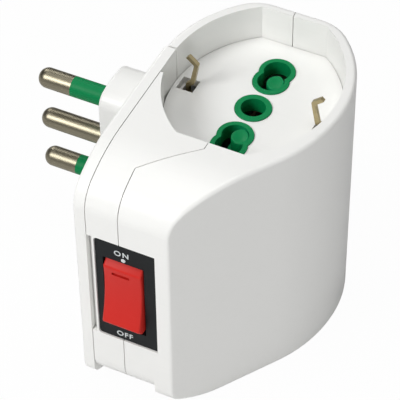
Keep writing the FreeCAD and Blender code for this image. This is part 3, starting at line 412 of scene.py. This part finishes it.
rocker_outline = face_dish() + [(-5.2, -10.2), (-3.0, -10.2), (2.5, -4.0), (2.5, 4.0),
                                (-3.0, 10.2), (-5.2, 10.2)]
print("points round the rocker:", len(rocker_outline))

# %% [markdown]
# The scene's own pieces are made from points: rings of them, joined by faces and closed at both
# ends. A few helpers do that, hang the piece on the body that carries it, and cut marks into it.

# %% Helpers that make meshes
def add_to_scene(name, data):
    """An object for a mesh, a lamp, a curve or a camera."""
    thing = bpy.data.objects.new(name, data)
    bpy.context.scene.collection.objects.link(thing)
    return thing


def smooth(piece):
    """Shade shallow angles as one surface and keep true edges crisp."""
    piece.data.shade_smooth()
    piece.data.set_sharp_from_angle(angle=SMOOTH_ANGLE)


def new_piece(name, mesh_builder, finish, body):
    """A mesh object that rides on a body and takes the finish of the given name."""
    mesh = bpy.data.meshes.new(name)
    mesh_builder(mesh)
    piece = add_to_scene(name, mesh)
    mesh.materials.append(finishes[finish])
    smooth(piece)
    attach(piece, body)
    return piece


def apply_modifiers(piece):
    """Bake an object's modifiers into its mesh."""
    graph = bpy.context.evaluated_depsgraph_get()
    baked = bpy.data.meshes.new_from_object(piece.evaluated_get(graph))
    old = piece.data
    piece.modifiers.clear()
    piece.data = baked
    bpy.data.meshes.remove(old)


def cut_away(piece, cutters):
    """Cut the cutters' shapes out of a piece for good, and remove the cutters."""
    for cutter in cutters:
        carve = piece.modifiers.new(cutter.name, "BOOLEAN")
        carve.operation = "DIFFERENCE"
        carve.solver = "EXACT"
        carve.object = cutter
    bpy.context.view_layer.update()
    apply_modifiers(piece)
    for cutter in cutters:
        bpy.data.objects.remove(cutter)
    smooth(piece)


def skin(shape, rings):
    """Faces between rings of points, and one flat face at each end."""
    for first, second in zip(rings, rings[1:]):
        for index in range(len(first)):
            after = (index + 1) % len(first)
            shape.faces.new((first[index], first[after], second[after], second[index]))
    shape.faces.new(rings[0])
    shape.faces.new(rings[-1])


def finish_mesh(shape, mesh):
    """Turn all faces outwards and write the shape into a mesh."""
    bmesh.ops.recalc_face_normals(shape, faces=shape.faces)
    shape.to_mesh(mesh)
    shape.free()


print("mesh helpers are ready")

# %% [markdown]
# The level mark on the rocker is moulded in, so it is cut out of the mesh, and not painted on.
# The bevel comes before the cut, so the long edges are round and the mark's own edges stay fine.

# %% Build the rocker
MARK_CENTRE = (-0.4, -6.6, 6.6)
MARK_SIZE = (4.3, 1.2, 0.85)
MARK_EDGE = 0.12
EDGE_WIDTH = 0.45
EDGE_STEPS = 4
EDGE_ANGLE = math.radians(25)


def make_cutter():
    """A slim bar that cuts the level mark into the rocker's face."""
    mesh = bpy.data.meshes.new("bar_cutter")
    shape = bmesh.new()
    bmesh.ops.create_cube(shape, size=1.0)
    bmesh.ops.scale(shape, vec=[v * MM for v in MARK_SIZE], verts=shape.verts)
    bmesh.ops.translate(shape, vec=[v * MM for v in MARK_CENTRE], verts=shape.verts)
    bmesh.ops.bevel(shape, geom=shape.edges[:], offset=MARK_EDGE * MM, segments=2,
                    affect="EDGES")
    shape.to_mesh(mesh)
    shape.free()
    return add_to_scene("bar_cutter", mesh)


def make_rocker():
    """The side view pushed out along x, rounded, marked and tilted about its pivot."""
    mesh = bpy.data.meshes.new("rocker_cap")
    shape = bmesh.new()
    skin(shape, [
        [shape.verts.new((x * MM, y * MM, z * MM)) for y, z in rocker_outline]
        for x in (-ROCKER_HALF_WIDTH, ROCKER_HALF_WIDTH)
    ])
    finish_mesh(shape, mesh)
    piece = add_to_scene("rocker_cap", mesh)
    soften = piece.modifiers.new("soften", "BEVEL")
    soften.width = EDGE_WIDTH * MM
    soften.segments = EDGE_STEPS
    soften.limit_method = "ANGLE"
    soften.angle_limit = EDGE_ANGLE
    mesh.materials.append(finishes["red_plastic"])
    cut_away(piece, [make_cutter()])
    turn = Matrix.Rotation(TILT, 4, "X")
    piece.data.transform(Matrix.Translation(place(ROCKER_CENTRE, PIVOT_Y, SWITCH_Z)) @ turn)
    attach(piece, "rocker")
    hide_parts("switch_rocker")
    return piece


rocker_cap = make_rocker()
print("rocker faces:", len(rocker_cap.data.polygons))

# %% [markdown]
# The frame round the rocker carries two short words and a dot, printed in pale ink. Real ink
# has a thickness, so the letters are Blender's own font, made into a mesh a few hundredths of a
# millimetre thick, and laid on the black face.

# %% Printed marks
ink = make_finish("ink", rgb(0.62, 0.66, 0.66), rgb(0.3, 0.32, 0.33), 0.5, grain=0.12,
                  bump=0.01, marks=0.3, mark_tone=rgb(0.4, 0.43, 0.44), across=4000.0, along=3000.0)
finishes["ink"] = ink
LETTER_HEIGHT = 1.5
CAPITAL_SHARE = 0.7
INK_HALF_THICKNESS = 0.03
INK_SPREAD = 0.035
INK_LIFT = 0.01


def make_word(name, text, x, z, spacing):
    """A word on the switch frame, facing the front."""
    curve = bpy.data.curves.new(name, "FONT")
    curve.body = text
    curve.size = LETTER_HEIGHT / CAPITAL_SHARE * MM
    curve.extrude = INK_HALF_THICKNESS * MM
    curve.offset = INK_SPREAD * MM
    curve.space_character = spacing
    curve.align_x = "CENTER"
    curve.align_y = "CENTER"
    curve.resolution_u = 6
    maker = add_to_scene(name + "_maker", curve)
    bpy.context.view_layer.update()
    graph = bpy.context.evaluated_depsgraph_get()
    mesh = bpy.data.meshes.new_from_object(maker.evaluated_get(graph))
    bpy.data.objects.remove(maker)
    mesh.transform(Matrix.Rotation(math.radians(90), 4, "X"))
    mesh.transform(Matrix.Translation(place(x, BEZEL_FACE - INK_LIFT, z)))
    mesh.materials.clear()
    mesh.materials.append(ink)
    piece = add_to_scene(name, mesh)
    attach(piece, "housing")
    return piece


on_word = make_word("on_word", "ON", -11.3, 48.1, spacing=1.25)
off_word = make_word("off_word", "OFF", -11.4, 21.2, spacing=1.15)
print("printed words:", on_word.name, off_word.name)

# %% [markdown]
# The dot is a drop of ink: a low dome, flat on top, drawn as rings round its middle.

# %% Printed dot
DOT_PLACE = (-10.9, BEZEL_FACE, 46.4)
DOT_PROFILE = [(0.55, 0.0), (0.5335, 0.06), (0.44, 0.12)]
DOT_TIP = 0.132
DOT_SIDES = 24


def circle_angles(sides):
    """Evenly spaced angles of a full turn."""
    return [2 * math.pi * step / sides for step in range(sides)]


def dot_mesh(mesh):
    """A small flat-topped dome for the printed dot."""
    shape = bmesh.new()
    x, y, z = DOT_PLACE
    rings = []
    for radius, rise in DOT_PROFILE:
        rings.append([
            shape.verts.new(place(x + radius * math.cos(a), y - rise, z + radius * math.sin(a)))
            for a in circle_angles(DOT_SIDES)
        ])
    skin(shape, rings)
    top = max(shape.faces, key=lambda face: -face.calc_center_median().y)
    tip = bmesh.ops.poke(shape, faces=[top])["verts"][0]
    tip.co = place(x, y - DOT_TIP, z)
    finish_mesh(shape, mesh)


index_dot = new_piece("index_dot", dot_mesh, "ink", "housing")
print("printed dot faces:", len(index_dot.data.polygons))

# %% [markdown]
# Behind each socket a fine wire coil pushes the green shutter back over the holes. A coil gets
# shorter when the shutter slides, which a rigid piece can't do. Here each coil is a wire swept
# along a helix that fills the frame's spring box, and it rides on the housing.

# %% Shutter springs
SPRING_TURNS = 9
WIRE_RADIUS = 0.12
STEPS_PER_TURN = 20
WIRE_SIDES = 8


def coil_mesh(box_low, box_high):
    """A helix of round wire along x that fills a box."""
    middle_y = (box_low[1] + box_high[1]) / 2
    middle_z = (box_low[2] + box_high[2]) / 2
    wire = WIRE_RADIUS * MM
    sweep = (box_high[2] - box_low[2]) / 2 - wire
    first, last = box_low[0] + wire, box_high[0] - wire

    def build(mesh):
        shape = bmesh.new()
        rings = []
        count = SPRING_TURNS * STEPS_PER_TURN
        for step in range(count + 1):
            angle = 2 * math.pi * step / STEPS_PER_TURN
            outward = Vector((0.0, math.cos(angle), math.sin(angle)))
            heart = Vector((first + (last - first) * step / count, middle_y, middle_z))
            heart += outward * sweep
            ring = []
            for lean in circle_angles(WIRE_SIDES):
                offset = outward * math.cos(lean) + Vector((math.sin(lean), 0.0, 0.0))
                ring.append(shape.verts.new(heart + offset * wire))
            rings.append(ring)
        skin(shape, rings)
        finish_mesh(shape, mesh)
    return build


for side in ("top", "bottom"):
    node_name = f"{side}_shutter_spring"
    box_low, box_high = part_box(node_name)
    slot = slot_of[node_name]
    spring = new_piece(f"{side}_spring_coil", coil_mesh(box_low, box_high), slot, "housing")
    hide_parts(node_name)
    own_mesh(spring)

# %% [markdown]
# A look into the two outer holes of a socket meets a green pad just under the rim. It stands on
# the shutter's disc and is sprung: a pin presses it down, and only then can the shutter slide
# under the lining. Here the pad rides on the shutter as one rigid piece. Its outline is a
# circle that is cut back where it would touch the hole's wall, and its top is slightly hollow.

# %% Shutter pads
HOLE_PLACE = 9.5
HOLE_LIMIT = 3.0
PAD_OFFSET = (1.35, 0.45)
PAD_RADIUS = 2.4
PAD_FOOT = 54.85
PAD_HEIGHT = 3.75
PAD_POINTS = 48
PAD_PROFILE = [(1.0, 0.0), (1.0, 0.92), (0.98, 0.96), (0.93, 0.99), (0.86, 1.0), (0.7, 0.985),
               (0.45, 0.95), (0.2, 0.93)]


def pad_mesh(middle, foot, rise):
    """A pad with a hollow top, at a hole's place along y; rise is negative for the lower socket."""
    outline = []
    for angle in circle_angles(PAD_POINTS):
        point = Vector(PAD_OFFSET)
        point += PAD_RADIUS * Vector((math.cos(angle), math.sin(angle)))
        outline.append(point * min(1.0, HOLE_LIMIT / point.length))
    heart = sum(outline, Vector((0.0, 0.0))) / PAD_POINTS

    def build(mesh):
        shape = bmesh.new()
        rings = []
        for share, height in PAD_PROFILE:
            ring = []
            for point in outline:
                spot = heart + (point - heart) * share
                corner = place(spot.x, middle + spot.y, foot + rise * height)
                ring.append(shape.verts.new(corner))
            rings.append(ring)
        skin(shape, rings)
        finish_mesh(shape, mesh)
    return build


pads = []
for side, foot, rise in (("top", PAD_FOOT, PAD_HEIGHT),
                         ("bottom", BODY_HEIGHT - PAD_FOOT, -PAD_HEIGHT)):
    for pole, middle in (("line", -HOLE_PLACE), ("neutral", HOLE_PLACE)):
        pad = new_piece(f"{side}_{pole}_pad", pad_mesh(middle, foot, rise), "green_plastic",
                        f"{side}_shutter")
        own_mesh(pad)
        pads.append(pad)
print("shutter pads:", [pad.name for pad in pads])

# %% [markdown]
# Three self-tapping screws hold the plug plate. Their heads show in round seats on the left side,
# so they get what a real head has: a rounded edge and a cross for the screwdriver. All three are
# one turned mesh, and two slim bars per head cut the cross. The crosses stand at odd angles, as a
# screwdriver leaves them.

# %% Plate screws
SCREWS = [(-14.6, 34.0, 20.0), (-32.5, 59.5, 65.0), (-32.5, 8.5, 40.0)]
SCREW_PROFILE = [(1.9, -22.57), (2.35, -22.54), (2.55, -22.47), (2.66, -22.36), (2.7, -22.2),
                 (2.7, -20.85), (2.65, -20.8), (1.45, -20.8), (1.45, -2.0), (0.9, -1.2),
                 (0.5, -1.0)]
SCREW_SIDES = 40
CROSS_CENTRE = -22.4
CROSS_BAR = (1.6, 2.9, 0.6)


def screw_mesh(mesh):
    """Three turned screws that lie along x."""
    shape = bmesh.new()
    for y, z, _ in SCREWS:
        rings = []
        for radius, x in SCREW_PROFILE:
            rings.append([
                shape.verts.new(place(x, y + radius * math.cos(a), z + radius * math.sin(a)))
                for a in circle_angles(SCREW_SIDES)
            ])
        skin(shape, rings)
    finish_mesh(shape, mesh)


def make_cross_bars(name, extra_turn):
    """One slim bar in front of each screw head, turned about the screw."""
    mesh = bpy.data.meshes.new(name)
    shape = bmesh.new()
    for y, z, turn in SCREWS:
        bar = bmesh.ops.create_cube(shape, size=1.0)["verts"]
        bmesh.ops.scale(shape, vec=[v * MM for v in CROSS_BAR], verts=bar)
        spin = Matrix.Rotation(math.radians(turn + extra_turn), 4, "X")
        bmesh.ops.transform(shape, verts=bar,
                            matrix=Matrix.Translation(place(CROSS_CENTRE, y, z)) @ spin)
    shape.to_mesh(mesh)
    shape.free()
    return add_to_scene(name, mesh)


plate_screws = new_piece("plate_screws", screw_mesh, "steel", "housing")
cut_away(plate_screws, [make_cross_bars("cross_bar_a", 0.0), make_cross_bars("cross_bar_b", 90.0)])
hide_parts("assembly_screws")
print("screw faces:", len(plate_screws.data.polygons))

# %% [markdown]
# The picture is a plain catalogue shot: a white floor, soft light from the front left and
# above, and the sloping side in half shade. The floor looks white to the camera by Light Path,
# while its own shading keeps the shadow under the adapter.

# %% Floor and backdrop
FLOOR_HALF = 3.0
FLOOR_DROP = 0.05 * MM
SEEN_WHITE = 0.97


def make_floor_finish():
    """Matt paper that the camera sees as nearly white, with the adapter's shadow kept."""
    material = bpy.data.materials.new("paper")
    material.use_nodes = True
    tree = material.node_tree
    shader = tree.nodes["Principled BSDF"]
    shader.inputs["Base Color"].default_value = rgb(0.7, 0.7, 0.7)
    shader.inputs["Roughness"].default_value = 0.9
    shader.inputs["Specular IOR Level"].default_value = 0.1
    white = add_node(tree, "ShaderNodeEmission")
    white.inputs["Color"].default_value = rgb(1.0, 1.0, 1.0)
    white.inputs["Strength"].default_value = 1.0
    rays = add_node(tree, "ShaderNodeLightPath")
    share = add_node(tree, "ShaderNodeMath", operation="MULTIPLY")
    share.inputs[1].default_value = SEEN_WHITE
    tree.links.new(rays.outputs["Is Camera Ray"], share.inputs[0])
    mix = add_node(tree, "ShaderNodeMixShader")
    tree.links.new(share.outputs[0], mix.inputs["Fac"])
    tree.links.new(shader.outputs[0], mix.inputs[1])
    tree.links.new(white.outputs[0], mix.inputs[2])
    tree.links.new(mix.outputs[0], tree.nodes["Material Output"].inputs["Surface"])
    return material


def make_floor():
    """A flat sheet a hair under the adapter, so that the two never share a plane."""
    mesh = bpy.data.meshes.new("floor")
    shape = bmesh.new()
    bmesh.ops.create_grid(shape, x_segments=2, y_segments=2, size=FLOOR_HALF)
    bmesh.ops.translate(shape, vec=(0.0, 0.0, -FLOOR_DROP), verts=shape.verts)
    shape.to_mesh(mesh)
    shape.free()
    mesh.materials.append(make_floor_finish())
    floor = add_to_scene("floor", mesh)
    return floor


floor = make_floor()
print("floor half width in m:", FLOOR_HALF)

# %% [markdown]
# The world gives a faint even light and looks white to the camera and through anything clear, so
# nothing dark stands behind the floor's far edge.

# %% World light
WORLD_LIGHT = 0.04


def make_world():
    """A faint light for the adapter, and plain white for the camera."""
    world = bpy.data.worlds.new("studio")
    bpy.context.scene.world = world
    world.use_nodes = True
    tree = world.node_tree
    plain = tree.nodes["Background"]
    plain.inputs["Color"].default_value = rgb(1.0, 1.0, 1.0)
    plain.inputs["Strength"].default_value = WORLD_LIGHT
    white = add_node(tree, "ShaderNodeBackground")
    white.inputs["Color"].default_value = rgb(1.0, 1.0, 1.0)
    white.inputs["Strength"].default_value = 1.0
    rays = add_node(tree, "ShaderNodeLightPath")
    mix = add_node(tree, "ShaderNodeMixShader")
    seen = add_node(tree, "ShaderNodeMath", operation="MAXIMUM")
    tree.links.new(rays.outputs["Is Camera Ray"], seen.inputs[0])
    tree.links.new(rays.outputs["Is Transmission Ray"], seen.inputs[1])
    tree.links.new(seen.outputs[0], mix.inputs["Fac"])
    tree.links.new(plain.outputs[0], mix.inputs[1])
    tree.links.new(white.outputs[0], mix.inputs[2])
    tree.links.new(mix.outputs[0], tree.nodes["World Output"].inputs["Surface"])


make_world()
print("world light:", WORLD_LIGHT)

# %% [markdown]
# Five soft boxes light the adapter. The strongest stands at the front left, a wide one fills from
# the front right, one hangs above, and two weak ones behind keep the back readable.

# %% Lamps
LAMP_TARGET = Vector((0.0, 0.0, 0.035))


def make_lamp(name, size, power, location):
    """A square soft box that points at the adapter."""
    light = bpy.data.lights.new(name, "AREA")
    light.shape = "SQUARE"
    light.size = size
    light.energy = power
    lamp = add_to_scene(name, light)
    lamp.location = location
    aim = LAMP_TARGET - Vector(location)
    lamp.rotation_mode = "QUATERNION"
    lamp.rotation_quaternion = aim.to_track_quat("-Z", "Y")
    return lamp


lamps = [
    make_lamp("key_lamp", 0.4, 5.85, (-0.43, -0.6, 0.68)),
    make_lamp("fill_lamp", 0.5, 3.65, (0.6, -0.8, 0.3)),
    make_lamp("top_lamp", 0.6, 4.0, (0.0, 0.0, 1.0)),
    make_lamp("back_left_lamp", 0.4, 2.2, (-0.6, 0.6, 0.6)),
    make_lamp("back_right_lamp", 0.4, 0.6, (0.6, 0.7, 0.5)),
]
print("lamps:", ", ".join(lamp.name for lamp in lamps))

# %% [markdown]
# The camera was found by matching known edges of the adapter, such as its pins and the two hole
# circles, to their places in the picture. Its heading, tilt and distance are set down here, and
# the lens is in the usual 36 mm film width.

# %% Camera
HEADING = math.radians(26.189)
DOWN = math.radians(46.541)
ROLL = math.radians(-0.734)
SHIFT_RIGHT = 11.893
SHIFT_UP = 20.433
DISTANCE = 493.041
FOCAL_PIXELS = 2208.114
FRAME_PIXELS = 400
FILM = 36.0
NEAR_LIMIT = 0.01


def make_camera():
    """The picture's own camera, in Blender's terms."""
    ahead = Vector((-math.sin(HEADING) * math.cos(DOWN), math.cos(HEADING) * math.cos(DOWN),
                    -math.sin(DOWN)))
    level = Vector((math.cos(HEADING), math.sin(HEADING), 0.0))
    upward = level.cross(ahead)
    right = math.cos(ROLL) * level + math.sin(ROLL) * upward
    up = -math.sin(ROLL) * level + math.cos(ROLL) * upward
    spot = -SHIFT_RIGHT * right - SHIFT_UP * up - DISTANCE * ahead
    lens = bpy.data.cameras.new("camera")
    lens.sensor_width = FILM
    lens.lens = FOCAL_PIXELS / FRAME_PIXELS * FILM
    lens.clip_start = NEAR_LIMIT
    camera = add_to_scene("camera", lens)
    turn = Matrix((right, up, -ahead)).transposed().to_4x4()
    camera.matrix_world = Matrix.Translation(place(spot.x, spot.y, spot.z + WELL_FLOOR)) @ turn
    bpy.context.scene.camera = camera
    return camera


camera = make_camera()
bpy.context.scene.view_settings.view_transform = "Standard"
print("camera at mm:", [round(v / MM) for v in camera.location], "lens", round(camera.data.lens, 1))
